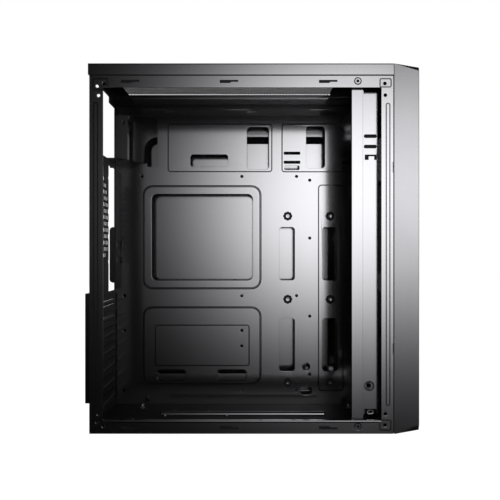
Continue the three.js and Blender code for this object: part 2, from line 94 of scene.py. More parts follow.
def sheet(
    outline, windows=(), cuts=(), fields=(), holes=None,
    plane="side", level=0.0, thickness=0.8, roll=0.35,
):
    """A pressed sheet as points and faces. Its face is triangulated between its outline and the edges
    of its windows and fields; a point's height is the sum of its fields' straight slopes, less a
    quarter round along each window. A copy lies one thickness behind, and quads join the two."""
    loops = [np.array(outline, float)] + [np.array(c, float) for c in cuts]
    for window in windows:
        loops += [rounded_loop(*window, inset=-roll * s) for s in ROLL_STEPS]
    for field in fields:
        loops += [rounded_loop(*field[:5], inset=field[5] * s) for s in WALL_STEPS]
    if holes:
        turn = np.arange(holes["sides"]) * 2 * math.pi / holes["sides"] + math.pi / 6
        ring = holes["r"] * np.c_[np.cos(turn), np.sin(turn)]
        loops += list(holes["centres"][:, None, :] + ring)
    sizes = [len(loop) for loop in loops]
    first = np.cumsum([0] + sizes[:-1])
    rounds = [np.c_[np.arange(n), np.roll(np.arange(n), -1)] + k for n, k in zip(sizes, first)]
    edges = np.concatenate(rounds)
    flat = np.concatenate(loops)
    cdt = delaunay_2d_cdt([Vector(p) for p in flat.tolist()], edges.tolist(), [], 0, 1e-5, False)
    p = np.array([tuple(v) for v in cdt[0]])
    faces = np.array([f for f in cdt[2] if len(f) == 3])
    middle = p[faces].mean(axis=1)
    keep = inside_loop(middle, loops[0])
    for loop in loops[1 : 1 + len(cuts)]:
        keep &= ~inside_loop(middle, loop)
    for window in windows:
        keep &= edge_distance(middle, *window) > 0
    if holes:
        keep &= holes["gap"](middle) > 0.85 * holes["r"]
    faces = faces[keep]
    used, faces = np.unique(faces, return_inverse=True)
    p, faces = p[used], faces.reshape(-1, 3)
    height = np.zeros(len(p))
    for field in fields:
        t = np.clip(-edge_distance(p, *field[:5]) / field[5], 0, 1)
        height += field[6] * t
    for window in windows:
        t = 1 - np.clip(edge_distance(p, *window) / roll, 0, 1)
        height -= roll * (1 - np.sqrt(np.clip(1 - t * t, 0, 1)))
    a, b, n = (np.array(v, float) for v in PLANES[plane])
    front = p[:, :1] * a + p[:, 1:] * b + np.abs(n) * level + n * height[:, None]
    back = front - n * thickness
    corner = p[faces]
    area = np.cross(corner[:, 1] - corner[:, 0], corner[:, 2] - corner[:, 0])
    faces = np.where((area > 0)[:, None], faces, faces[:, ::-1])
    pairs = np.concatenate([faces[:, [0, 1]], faces[:, [1, 2]], faces[:, [2, 0]]])
    key = pairs.min(axis=1) * len(p) + pairs.max(axis=1)
    _, where, count = np.unique(key, return_index=True, return_counts=True)
    rim = pairs[where[count == 1]]
    quads = np.c_[rim[:, 1], rim[:, 0], rim[:, 0] + len(p), rim[:, 1] + len(p)]
    points = np.concatenate([front, back])
    triangles = np.concatenate([faces, faces[:, ::-1] + len(p)])
    return points, triangles.tolist() + quads.tolist()


def box_loop(a0, a1, b0, b1):
    """Outline of a plain rectangle."""
    return [(a0, b0), (a1, b0), (a1, b1), (a0, b1)]


def piece(name, parts, material, body, replaced=(), smooth=38):
    """One object of several closed shapes, in metres in the frame. Edges turned by more than smooth
    degrees stay sharp, and wide faces rule the shading of the small ones beside them."""
    start, points, faces = 0, [], []
    for p, f in parts:
        points.append(np.asarray(p, float))
        faces += [[i + start for i in face] for face in f]
        start += len(p)
    metres = (np.concatenate(points) + CORNER) / 1000
    mesh = bpy.data.meshes.new(name)
    mesh.from_pydata(metres.tolist(), [], faces)
    mesh.validate()
    mesh.shade_smooth()
    mesh.set_sharp_from_angle(angle=math.radians(smooth))
    mesh.materials.append(material)
    obj = bpy.data.objects.new(name, mesh)
    bpy.context.scene.collection.objects.link(obj)
    weighted = obj.modifiers.new("shading", "WEIGHTED_NORMAL")
    weighted.keep_sharp = True
    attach(obj, body)
    if replaced:
        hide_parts(*replaced)
    return obj


def coating(name, color, roughness, specular=0.5, grain=0.8, depth=0.006, spread=0.05, metal=0.0):
    """A coated or moulded surface: fine grain of the given size and depth in mm, and a slow cloud
    that spreads the roughness a little."""
    material = bpy.data.materials.new(name)
    material.use_nodes = True
    tree = material.node_tree
    shader = tree.nodes["Principled BSDF"]
    shader.inputs["Base Color"].default_value = (*color, 1)
    shader.inputs["Specular IOR Level"].default_value = specular
    shader.inputs["Metallic"].default_value = metal
    coords = tree.nodes.new("ShaderNodeTexCoord")
    peel = tree.nodes.new("ShaderNodeTexNoise")
    peel.inputs["Scale"].default_value = 1000 / grain
    peel.inputs["Detail"].default_value = 3
    bump = tree.nodes.new("ShaderNodeBump")
    bump.inputs["Strength"].default_value = 0.35
    bump.inputs["Distance"].default_value = depth / 1000
    cloud = tree.nodes.new("ShaderNodeTexNoise")
    cloud.inputs["Scale"].default_value = 25
    cloud.inputs["Detail"].default_value = 4
    ramp = tree.nodes.new("ShaderNodeMapRange")
    ramp.inputs["To Min"].default_value = roughness - spread
    ramp.inputs["To Max"].default_value = roughness + spread
    link = tree.links.new
    link(coords.outputs["Object"], peel.inputs["Vector"])
    link(coords.outputs["Object"], cloud.inputs["Vector"])
    link(peel.outputs["Fac"], bump.inputs["Height"])
    link(bump.outputs["Normal"], shader.inputs["Normal"])
    link(cloud.outputs["Fac"], ramp.inputs["Value"])
    link(ramp.outputs["Result"], shader.inputs["Roughness"])
    return material


BLACK = (0.003, 0.003, 0.0032)
paint = coating(
    "black_powder_coat", BLACK, 0.125,
    specular=1.0, grain=0.5, depth=0.0003, spread=0.01,
)
# Painted shade: a darker copy of the black powder coat that hardly reflects, laid on the surfaces and
# strips that should read as lying in shade.
shade_coat = coating(
    "black_painted_shade", (0.002, 0.002, 0.0022), 0.6,
    specular=0.08, grain=0.5, depth=0.002, spread=0.03,
)

TRAY = 160.0  # near face of the tray
STEEL = 0.9  # thickness of the folded sheets
SCREW_HOLE = 1.8  # radius of a screw's hole
cable_slots = [(x, x + 20.5, z, z + 70, 4) for x in (217, 273.8) for z in (164.2, 44.2)]
tray_windows = cable_slots + [
    (17.9, 56.6, 313.8, 380.2, 3),
    (48.8, 182.2, 163.9, 277.9, 7),
    (99.8, 149.5, 313.9, 330, 3.6),
    (174.4, 203.4, 310.3, 366.5, 4.6),
    (252.4, 277.4, 311.9, 367.5, 4.6),
    (57.2, 93.2, 40.8, 45.8, 2.2),
    (136.2, 172.9, 40.8, 45.8, 2.2),
    (223.8, 243.6, 309.6, 315.2, 1.6),
    (300.1, 319.9, 309.6, 315.2, 1.6),
]
short_slots = [(x, x + 21.3, z - 1.85, z + 1.85, 0.6) for x in (223.2, 299.5) for z in (331.7, 319.8)]
BOARD_HOLES = [
    (36.2, 301.2), (167.7, 301.1), (239.8, 301.1), (257.2, 296.1), (257.2, 219.8), (13.5, 144),
    (167.7, 143.9), (239.8, 143.9), (13.5, 98.1), (167.7, 98.1), (167.7, 77.7), (257.2, 116.9),
    (257.2, 40.1), (12.4, 19.2), (167.7, 19.2), (239.8, 19), (12, 372),
]
round_holes = [hole(x, z, 1.9) for x, z in BOARD_HOLES]
round_holes += [hole(252.4, 50.3, 5.3), hole(7.8, 200.8, 0.9)]
cable_oval = (244.6, 260, 12.9, 25.1, 6)


def groove(a0, a1, b0, b1, r, width=1.6, depth=1.3):
    """A narrow pressed line: one wall down, and just inside it one wall back up."""
    step = width * 0.55
    inner = (a0 + step, a1 - step, b0 + step, b1 - step, max(r - step, 0.1))
    return [(a0, a1, b0, b1, r, width * 0.45, -depth), (*inner, width * 0.45, depth)]


def seat_loop(x, z):
    """Opening round a standoff's seat: a circle with eight small teeth pointing in."""
    angle = np.radians(np.arange(0, 360, 7.5))
    tooth = np.abs((np.degrees(angle) - 22.5) % 45 - 22.5) > 16
    r = np.where(tooth, 4.9, 6.0)
    return np.c_[x + r * np.cos(angle), z + r * np.sin(angle)]


seats = [(x, z) for x in (228.2, 284.0) for z in (248.8, 139.2, 29.3)]
seat_cuts = [seat_loop(x, z) for x, z in seats]
tray_fields = [
    *groove(69.9, 208, 306.6, 370.8, 4),
    *groove(219.9, 330, 306.4, 370.8, 4),
    *groove(37.1, 193.7, 152.2, 289.5, 13, 2.8, 2.0),
    *groove(37.1, 193.7, 26.8, 129.9, 13, 2.8, 2.0),
    *groove(52.9, 178.1, 51.1, 105.9, 4),
    *groove(268, 301.9, 18.3, 290.4, 5),
    (55.9, 94.5, 31.4, 47, 5, 0.9, -1.4),
    (134.9, 174.2, 31.4, 47, 5, 0.9, -1.4),
]
clip_cuts = [box_loop(3, 12, 187, 194.9), box_loop(3, 12, 206.7, 215.6)]
slot_notches = [[(x - 2.6, 314.2), (x, 312), (x + 2.6, 314.2)] for x in (111.7, 136.6)]
tray = sheet(
    box_loop(1.3, 335, 1.3, 381.6),
    windows=tray_windows + short_slots + round_holes + [cable_oval],
    cuts=seat_cuts + clip_cuts + slot_notches,
    fields=tray_fields,
    level=TRAY, roll=0.25,
)
tray_nodes = [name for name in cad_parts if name.startswith("tray_")]
piece("tray", [tray], paint, "chassis", tray_nodes)
# Discs in painted shade behind the seats' openings, so the openings read dark.
seat_shade_discs = [rounded_loop(*hole(x, z, 7.5), steps=6) for x, z in seats]
piece("seat_shade_discs", [sheet(loop, level=TRAY + 1.6) for loop in seat_shade_discs], shade_coat, "chassis")
seat_rings = [
    sheet(
        rounded_loop(*hole(x, z, 2.3), steps=6),
        windows=[hole(x, z, 0.35)],
        level=TRAY, thickness=1.7, roll=0.15,
    )
    for x, z in seats
]
piece("seats", seat_rings, paint, "chassis")

# ---------------------------------------------------------------------------------------------
# Right side panel. A thin steel door pressed outwards over most of its area for cable room, with
# folded edges, six hooks for the rails' slots and a finger tab behind the rear wall.
# ---------------------------------------------------------------------------------------------
RIGHT = 183.0  # outer faces of the right-hand rails
DOOR = RIGHT + 0.3
HOOK_Z = (6.7, 391.2)
FAR_SLOTS = (53.0, 163.9, 274.8)


def block(x0, x1, y0, y1, z0, z1, bevel=0.12):
    """A block whose edges are cut back by bevel: each corner becomes three points, one on each face."""
    low, high = np.array([x0, y0, z0], float), np.array([x1, y1, z1], float)
    bevel = min(bevel, (high - low).min() / 3)
    signs = np.array([[i & 1, i >> 1 & 1, i >> 2 & 1] for i in range(8)])
    points = []
    for s in signs:
        for axis in range(3):
            inward = np.where(s == 1, -bevel, bevel)
            inward[axis] = 0
            points.append(np.where(s == 1, high, low) + inward)
    index = {(tuple(s), axis): 3 * i + axis for i, s in enumerate(signs.tolist()) for axis in range(3)}
    faces = []
    for axis in range(3):
        u, v = (axis + 1) % 3, (axis + 2) % 3
        for side in (0, 1):
            quad = []
            for cu, cv in ((0, 0), (1, 0), (1, 1), (0, 1)):
                s = [0, 0, 0]
                s[axis], s[u], s[v] = side, cu, cv
                quad.append(index[tuple(s), axis])
            faces.append(quad if side else quad[::-1])
        for cu in (0, 1):
            for cv in (0, 1):
                ends = []
                for along in (0, 1):
                    s = [0, 0, 0]
                    s[axis], s[u], s[v] = along, cu, cv
                    ends.append((index[tuple(s), u], index[tuple(s), v]))
                strip = [ends[0][0], ends[1][0], ends[1][1], ends[0][1]]
                faces.append(strip[::-1] if cu == cv else strip)
    for i, s in enumerate(signs.tolist()):
        tri = [3 * i, 3 * i + 1, 3 * i + 2]
        faces.append(tri if sum(s) % 2 else tri[::-1])
    return np.array(points), faces


door_hooks = []
for z in HOOK_Z:
    for x in FAR_SLOTS:
        stem = x + 15
        door_hooks.append(block(stem - 4, stem, 179.8, DOOR + 0.1, z - 1, z + 1))
        door_hooks.append(block(stem - 0.1, stem + 8, 179.8, 181, z - 1, z + 1))
finger_tab = sheet(rounded_loop(-10.8, 3, 160, 235.1, 4.7), level=DOOR, thickness=STEEL)
THUMB_Y = 176.5
THUMB_Z = (60.0, 318.0)
door_flange = sheet(
    box_loop(171, DOOR + 0.9, 12, 384),
    windows=[hole(THUMB_Y, z, 2.2) for z in THUMB_Z],
    plane="wall", level=-0.35, thickness=STEEL,
)
door_vents = [(24.8, 70, z0, z1, 0.7, 0.6, -1.5) for z0, z1 in ((379.2, 381), (372.4, 376.2))]
door = sheet(
    box_loop(-1.25, 337.7, 0.5, 398.5),
    fields=[(35.9, 292.7, 29.5, 356.7, 19, 9.2, -5.7)] + door_vents,
    level=DOOR, thickness=STEEL,
)
side_door = [door, finger_tab, door_flange] + door_hooks
piece("side_door", side_door, paint, "side_panel", ["right_side_panel"], smooth=25)

# ---------------------------------------------------------------------------------------------
# Rear wall. One sheet with the power supply's stepped opening, the connector opening, a round
# field of six-sided air holes, seven card slots and the ledge of the slot screws, and an upright
# folded along each side. Its outer skin is glossy; its lining, the webs and the ledge are in painted shade.
# ---------------------------------------------------------------------------------------------
RAIL_LOW = 14.9  # upper edges of the floor's rails
RAIL_TOP = 384.8  # lower edges of the top frame's rails
FRAME_TOP = 397.5
HEIGHT = 411.1
SLOT_PITCH = 20.32
SLOT_TOP = 138.4
slot_z = [SLOT_TOP - SLOT_PITCH * k for k in range(7)]
screw_z = [z + SLOT_PITCH / 2 for z in slot_z[:6]]
LEDGE_Y = 34.3


def lattice(a0, a1, b0, b1, pitch, r, sides=6, within=None):
    """Staggered rows of small holes: centres on two square-sided grids half a pitch apart. gap gives a
    point's distance to the nearest centre, or a long way off where that hole isn't punched."""
    rise = pitch * math.sqrt(3)
    within = within or (lambda c: np.ones(len(c), bool))
    na, nb = int((a1 - a0) / pitch), int((b1 - b0) / rise)
    starts = [(a0, b0, na + 1, nb + 1), (a0 + pitch / 2, b0 + rise / 2, na, nb)]
    centres = []
    for ca, cb, ma, mb in starts:
        i, j = np.meshgrid(np.arange(ma), np.arange(mb))
        centres.append(np.c_[ca + pitch * i.ravel(), cb + rise * j.ravel()])
    centres = np.concatenate(centres)
    centres = centres[within(centres)]

    def gap(p):
        best = np.full(len(p), 1e3)
        for ca, cb, ma, mb in starts:
            i = np.clip(np.rint((p[:, 0] - ca) / pitch), 0, ma - 1)
            j = np.clip(np.rint((p[:, 1] - cb) / rise), 0, mb - 1)
            c = np.c_[ca + pitch * i, cb + rise * j]
            best = np.where(within(c), np.minimum(best, np.hypot(*(p - c).T)), best)
        return best

    return {"centres": centres, "gap": gap, "r": r, "sides": sides}


FAN_Y, FAN_Z, FAN_R = 60.0, 242.0, 57.0


def in_fan(c):
    """Whether a hole's centre lies in the round field of the rear fan."""
    return np.hypot(c[:, 0] - FAN_Y, c[:, 1] - FAN_Z) < FAN_R


power_opening = [(14, 318.8), (157, 318.8), (157, 390.2), (118, 390.2), (118, 398.4), (14, 398.4)]
fan_screws = [hole(FAN_Y + a * 52.5, FAN_Z + b * 52.5, 2.2) for a in (-1, 1) for b in (-1, 1)]
rear_cut = dict(
    outline=box_loop(0.9, 182.1, 0.1, 410.2),
    windows=[(112.7, 157.2, 151.9, 310.7, 1.2), hole(126, 395.6, 2)]
    + [(45, 150, z - 6.5, z + 6.5, 1) for z in slot_z]
    + [(LEDGE_Y - 2.2, LEDGE_Y, z - 8, z + 8, 0.3) for z in slot_z[:6]]
    + fan_screws
    + [hole(THUMB_Y, z, 2.1) for z in THUMB_Z],
    cuts=[power_opening],
    holes=lattice(FAN_Y - 60, FAN_Y + 60, FAN_Z - 60, FAN_Z + 60, 9.0, 3.9, within=in_fan),
    plane="wall",
)
rear_sheet = sheet(**rear_cut, level=1.0, thickness=0.55)
rear_skin = sheet(**rear_cut, level=0.42, thickness=0.4, roll=0.1)


def plate(x0, x1, z0, z1):
    """Outline of a riveted lap at a corner of the open side, pressed in as a fine line."""
    return groove(x0, x1, z0, z1, 2.2, 1.3, 1.0)


LOW_REAR_PLATE, TOP_REAR_PLATE = plate(3.4, 20.5, 4.2, 17.1), plate(3.8, 21.1, 381.3, 394.9)
LOW_FRONT_PLATE, TOP_FRONT_PLATE = plate(322, 335.6, 3.5, 15.9), plate(322.2, 335.8, 384.4, 394.9)


def upright(x0, x1, y, bead, screws, plates=(), cuts=(), low=RAIL_LOW + 0.02):
    """Face of an upright: a long pressed bead, its small screw holes and the laps at its ends."""
    return sheet(
        box_loop(x0, x1, low, RAIL_TOP - 0.02),
        windows=[hole(x, z, SCREW_HOLE) for x, z in screws],
        cuts=cuts,
        fields=groove(*bead, (bead[1] - bead[0]) / 2 - 0.05, 1.3, 1.0) + list(plates),
        level=y, thickness=STEEL,
    )


NEAR_LOW = RAIL_LOW - 1.28
REAR_BEAD = (4.2, 9.8, 32.7, 368.6)
rear_near = upright(
    0, 15.3, 0.0, REAR_BEAD, [(10.3, 375.7), (10.2, 22), (8.9, 386.2)],
    LOW_REAR_PLATE + TOP_REAR_PLATE, low=NEAR_LOW,
)
rear_far = upright(0, 15.3, RIGHT - STEEL, REAR_BEAD, [])
near_web, far_web = [
    sheet(box_loop(y0, y1, RAIL_LOW + 0.3, RAIL_TOP - 0.3), plane="wall", level=1.0, thickness=1.0)
    for y0, y1 in ((0.5, 1.4), (181.6, 182.6))
]
ledge = sheet(
    box_loop(-9.5, 0.5, 30, 152.8),
    windows=[hole(-5, z, SCREW_HOLE) for z in screw_z],
    level=LEDGE_Y, thickness=1.0, roll=0.2,
)
# The sheet, its webs and the ledge take the painted-shade copy of the black coat.
piece("rear_wall", [rear_sheet, near_web, far_web, ledge], shade_coat, "chassis", ["rear_panel"])
piece("rear_skin", [rear_near, rear_far, rear_skin], paint, "chassis")

# ---------------------------------------------------------------------------------------------
# Card slot covers. Stamped steel strips in painted shade, with two fine slits beside a raised
# rib, hung inside the rear wall; each but the lowest ends in a bent tab under its screw.
# ---------------------------------------------------------------------------------------------
for k, z in enumerate(slot_z):
    screwed = k < 6
    start = LEDGE_Y - 1.3 if screwed else 38
    strip = sheet(
        rounded_loop(start, 153, z - 9.1, z + 9.1, 0.8),
        windows=[(46, 149, z + s * 3.1 - 0.22, z + s * 3.1 + 0.22, 0.2) for s in (-1, 1)],
        fields=[(46, 149, z - 2, z + 2, 1.4, 1.0, 0.6)],
        plane="wall", level=2.2, thickness=0.85, roll=0.08,
    )
    shapes = [strip]
    if screwed:
        notches = [hole(-5, z + s * SLOT_PITCH / 2, 3.6) for s in (-1, 1)]
        tab = sheet(
            box_loop(-8.4, 2.2, z - 7.5, z + 7.5),
            cuts=[rounded_loop(*n) for n in notches],
            level=LEDGE_Y - 1.3, thickness=STEEL,
        )
        shapes.append(tab)
    # The covers take the painted-shade copy of the black coat.
    piece(f"card_cover_{k + 1}", shapes, shade_coat, "chassis", [f"slot_cover_{k + 1}"])

# ---------------------------------------------------------------------------------------------
# Floor. A flat steel sheet in painted shade with four holes for the feet, a long rounded rib and
# low rivet heads in smoother paint, and a rail folded up along each side; the rails carry the side
# panels' hook slots, and a strip of painted shade lies behind those of the near one.
# ---------------------------------------------------------------------------------------------
NEAR_SLOTS = (45.4, 155.3, 265.4)
LOW_PLATES = LOW_REAR_PLATE + LOW_FRONT_PLATE
EYE_X = 298.3  # eyelets that hold the front column
FEET = [(40, 48), (40, 136), (305, 48), (305, 136)]


def hook_slot(x, z, up):
    """Keyhole slot of a side panel hook: 20.5 long, tall at the rear and narrow in front."""
    low, tall, narrow = z - 1.75, 3.5, 2.2
    loop = [(x - 10.3, low), (x + 10.2, low), (x + 10.2, low + narrow), (x + 2.2, low + narrow),
            (x + 1.2, low + tall), (x - 10.3, low + tall)]
    if up:
        loop = [(a, 2 * z - b) for a, b in loop][::-1]
    return loop


def near_rail(z0, z1, slot_level, up, eye_z, through, plates):
    """Rail of the open side: hook slots, the eyelet's hole, screw holes and the corner laps."""
    return sheet(
        box_loop(0, 337.6, z0, z1),
        windows=[hole(EYE_X, eye_z, 4.0)] + [hole(x, z, SCREW_HOLE) for x, z in through],
        cuts=[hook_slot(x, slot_level, up) for x in NEAR_SLOTS],
        fields=plates,
        level=0.0, thickness=STEEL,
    )


def far_rail(z0, z1, slot_level):
    """Rail of the right side, with three long slots for the panel's hooks."""
    return sheet(
        box_loop(0, 338, z0, z1),
        windows=[(x - 16, x + 16, slot_level - 1.7, slot_level + 1.7, 0.5) for x in FAR_SLOTS],
        level=RIGHT - STEEL, thickness=STEEL,
    )


foot_holes = [hole(x, y, 3.4) for x, y in FEET]
floor_sheet = sheet(
    box_loop(0.1, 337.9, 0.3, 182.7),
    windows=foot_holes,
    plane="flat", level=1.0, thickness=0.95,
)


def folded_lip(points, x0, x1):
    """A strip folded through the given (y, z) points, drawn out along x from x0 to x1."""
    loop = np.array(points, float)
    n = len(loop)
    ends = [np.c_[np.full(n, x), loop] for x in (x0, x1)]
    sides = [[i, (i + 1) % n, (i + 1) % n + n, i + n] for i in range(n)]
    return np.concatenate(ends), sides + [list(range(n))[::-1], list(range(n, 2 * n))]


def lip_profile(y, z0, z1, inward, thick=0.8, r=1.2, depth=4):
    """Section of a folded edge: outer face at y, turned inwards at z1 through a quarter circle."""
    t = np.linspace(0, math.pi / 2, 6)
    outer = np.c_[y + inward * (r - r * np.cos(t)), z1 - r + r * np.sin(t)]
    inner_r = max(r - thick, 0.3)
    inner = np.c_[y + inward * (r - inner_r * np.cos(t)), z1 - r + inner_r * np.sin(t)]
    ends = [(y + inward * depth, z1), (y + inward * depth, z1 - thick)]
    loop = np.concatenate([[(y, z0)], outer, ends, inner[::-1], [(y + inward * thick, z0)]])
    return loop[::-1] if inward > 0 else loop


def loft(rings, closed):
    """Quads between rings of equal counts, taken in order. The last ring joins the first if closed,
    or else flat faces cap both."""
    n = len(rings[0])
    i = np.arange(n)
    j = (i + 1) % n
    pairs = [(k, k + 1) for k in range(len(rings) - 1)] + ([(len(rings) - 1, 0)] if closed else [])
    quads = [np.c_[a * n + i, a * n + j, b * n + j, b * n + i] for a, b in pairs]
    last = (len(rings) - 1) * n
    caps = [] if closed else [list(range(n))[::-1], list(range(last, last + n))]
    return np.concatenate(rings), np.concatenate(quads).tolist() + caps


def turned(profile, axis="x", at=(0, 0), sides=32, hollow=False):
    """A turned shape: a profile of (along, radius) points swept round an axis through at. A hollow
    one's profile is a closed loop beside the axis."""
    t = np.arange(sides) * 2 * math.pi / sides
    rings = []
    for along, r in profile:
        circle = np.c_[at[0] + r * np.cos(t), at[1] + r * np.sin(t)]
        column = np.full(sides, float(along))
        ring = {"x": np.c_[column, circle], "y": np.c_[circle[:, 1], column, circle[:, 0]],
                "z": np.c_[circle, column]}[axis]
        rings.append(ring)
    return loft(rings, closed=hollow)


def dome(x, y, r, z=1.0, rise=0.9):
    """A low round head on the floor, turned about z."""
    t = np.linspace(0, 1.45, 10)
    return turned([(z - 0.3, r)] + [(z + rise * math.sin(a), r * math.cos(a)) for a in t], "z", (x, y), 20)


floor_lip = folded_lip(lip_profile(0.0, 12.5, RAIL_LOW, 1, r=1.0, depth=5), 15.4, 324.4)
# A strip in painted shade behind the near rail's hook slots, so they read dark.
low_shade_strip = block(22, 290, 1.0, 1.6, 1.3, 12.4)
floor_bead = turned(
    [(66, 0.4), (66.4, 1.8), (67.5, 3.0), (69, 3.5), (270, 3.5), (271.5, 3.0), (272.6, 1.8), (273, 0.4)],
    "x", (101, 0.2), 40,
)
RIVETS = [(82.1, 112), (126.4, 112), (74.2, 88), (149.6, 88)]
floor_heads = [dome(x, y, 2.1, rise=2.1) for x, y in RIVETS]
floor_heads += [dome(x, y, 2.7, 4.4, 2.7) for x, y in FEET]
# The floor sheet and that strip take the painted-shade copy of the black coat.
piece("floor_pan", [floor_sheet, low_shade_strip], shade_coat, "chassis", ["bottom_panel"])
polished = coating(
    "polished_black", BLACK, 0.035,
    specular=1.0, grain=0.5, depth=0.0001, spread=0.01,
)
piece("floor_beads", [floor_bead] + floor_heads, polished, "chassis")
LOW_HOLES = [(8.4, 13.2), (15.6, 8.6), (328.3, 9.5)]
low_near_rail = near_rail(0, RAIL_LOW - 1.3, 6.75, False, 8.1, LOW_HOLES, LOW_PLATES)
low_far_rail = far_rail(0, RAIL_LOW, 6.7)
piece("floor_rails", [low_near_rail, floor_lip, low_far_rail], paint, "chassis")

# ---------------------------------------------------------------------------------------------
# Top frame. Two side rails with flat strips folded inwards from their upper edges, and a cross
# strip behind the front panel; the strips are in painted shade. Strips of painted shade lie behind
# the near rail's slots and in the gap under the top cover.
# ---------------------------------------------------------------------------------------------
FLANGE = 14.0  # width of the strips folded inwards
TOP_HOLES = [(8.9, 386.2), (16.6, 389.2), (328.3, 389.1)]
TOP_PLATES = TOP_REAR_PLATE + TOP_FRONT_PLATE
top_ring = sheet(
    [(1.3, 0.3), (338, 0.3), (338, 182.7), (1.3, 182.7), (1.3, RIGHT - FLANGE), (318, RIGHT - FLANGE),
     (318, FLANGE), (1.3, FLANGE)],
    plane="flat", level=FRAME_TOP, thickness=STEEL,
)
# Painted shade: a strip behind the near rail's slots and one filling the gap under the top cover.
top_shade_strips = [block(22, 290, 1.0, 1.6, 386, 396.4), block(0.6, 337, 0.3, 0.9, 397.6, 400.5)]
piece("top_ring", [top_ring] + top_shade_strips, shade_coat, "chassis", ["top_frame"])
top_near_rail = near_rail(RAIL_TOP, FRAME_TOP, 391.25, True, 391.8, TOP_HOLES, TOP_PLATES)
top_far_rail = far_rail(RAIL_TOP, FRAME_TOP, 391.2)
piece("top_rails", [top_near_rail, top_far_rail], paint, "chassis")

# ---------------------------------------------------------------------------------------------
# Top cover. A steel sheet finely perforated over the middle, with lips folded down at the sides
# and rear. Its outer skin and lips are glossy, its lining is in painted shade.
# ---------------------------------------------------------------------------------------------
VENT_PITCH = 4.2
last_row = [(x - 1.5, x + 1.5, 166, 173.5, 1.4) for x in np.arange(19, 285, VENT_PITCH)]
cover_cut = dict(
    outline=box_loop(-1.3, 338, -1, 184.3),
    windows=last_row,
    holes=lattice(18, 286, 26, 165, VENT_PITCH, 1.75),
    plane="flat", roll=0.1,
)
cover_skin = sheet(**cover_cut, level=HEIGHT, thickness=0.22)
cover_lining = sheet(**cover_cut, level=HEIGHT - 0.25, thickness=0.25)
LIP = 398.8  # lower edge of the lips
near_lip = folded_lip(lip_profile(-1, LIP, HEIGHT, 1), -1.3, 338)
far_lip = folded_lip(lip_profile(184.3, LIP, HEIGHT, -1), -1.3, 338)
rear_lip = sheet(box_loop(-1, 184.3, LIP, HEIGHT), plane="wall", level=-0.4, thickness=0.8)
# The lining under the skin takes the painted-shade copy of the black coat.
piece("lid", [cover_lining], shade_coat, "chassis", ["top_cover"])
piece("lid_skin", [cover_skin, near_lip, far_lip, rear_lip], paint, "chassis")

# ---------------------------------------------------------------------------------------------
# Front panel. Steel wall behind the bezel with two round fan openings and their screw holes, the
# slot for the front connectors' leads, the bezel's clip holes and an upright down each side.
# ---------------------------------------------------------------------------------------------
CLIPS = [(y, z) for z in (94.6, 296.0) for y in (12.0, 171.0)]
FRONT_FANS = [(91.5, 98.0), (91.5, 232.0)]
front_wall = sheet(
    box_loop(3, 180, 0.9, 396.2),
    windows=[(60, 123, 340, 372, 4)]
    + [hole(y + a * 52.5, z + b * 52.5, 2.2) for y, z in FRONT_FANS for a in (-1, 1) for b in (-1, 1)],
    cuts=[rounded_loop(*hole(y, z, 57), steps=8) for y, z in FRONT_FANS]
    + [box_loop(y - 4, y + 4, z - 6, z + 6) for y, z in CLIPS],
    plane="wall", level=338.0, thickness=1.0,
)
FRONT_BEAD = (329.1, 334.4, 30.9, 367.6)
front_near = upright(
    324.6, 337.6, 0.0, FRONT_BEAD, [(328.8, 376.1), (328.9, 22)],
    LOW_FRONT_PLATE + TOP_FRONT_PLATE,
    [box_loop(336.2, 338.5, 290.2, 301.8), box_loop(336.2, 338.5, 88.8, 100.5)],
    low=NEAR_LOW,
)
front_far = upright(324.5, 338, RIGHT - STEEL, FRONT_BEAD, [])
piece("front_wall", [front_wall, front_near, front_far], paint, "chassis", ["front_panel"])

# ---------------------------------------------------------------------------------------------
# Front column. A steel strip folded into two steps from floor to top frame, slotted for drive
# brackets, with a foot at each end that an eyelet holds. A strip of painted shade closes the slots behind.
# ---------------------------------------------------------------------------------------------
COLUMN_Z = (18.7, 382.6)
strip_one = sheet(box_loop(292.8, 305.1, 15.2, 384.5), level=8.0, thickness=STEEL)
strip_slots = [(307.8, 322, z - 1.8, z + 1.8, 1.7) for z in (333.2, 321.4)]
strip_two = sheet(
    box_loop(305.6, 323, *COLUMN_Z),
    windows=strip_slots + [hole(312.9, 50.3, SCREW_HOLE)],
    cuts=[[(308.6, 306.2), (313, 306.2), (313, 310.3), (319.3, 310.3), (319.3, 306.2), (322.2, 306.2),
           (322.2, 312.3), (308.6, 312.3)], box_loop(308.2, 324, 17, 24.1)],
    fields=groove(*hole(313.7, 50, 5.8), 1.9, 1.6) + groove(*hole(312.9, 50.3, 3.4), 1.3, 1.0),
    level=18.0, thickness=STEEL,
)
web = sheet(box_loop(8, 18.9, *COLUMN_Z), plane="wall", level=305.8, thickness=STEEL)
hem = sheet(box_loop(18.2, 30, *COLUMN_Z), plane="wall", level=323, thickness=STEEL)
foot_ring = sheet(
    rounded_loop(311.4, 319, 17.2, 22.6, 2.6),
    windows=[(312.9, 317.5, 18.7, 21.1, 1.1)],
    level=20.5,
)
feet = [block(292.8, 305.8, 1.3, 9, z, z + STEEL) for z in (14.2, 384.9)]
ends = [
    sheet(box_loop(292.8, 305.8, z0, z1), windows=[hole(EYE_X, z, 4.3)], level=1.3, thickness=STEEL)
    for z0, z1, z in ((1.3, 14.9, 8.1), (385, 396.2, 391.8))
]
# Painted shade: the strip that darkens the column's slots, and the column's feet.
piece("column_feet_and_shade_strip", [block(306.9, 322.6, 19.4, 20.2, 300, 341)] + feet, shade_coat, "chassis")
piece("column", [strip_one, strip_two, web, hem, foot_ring] + ends, paint, "chassis", ["front_column"])

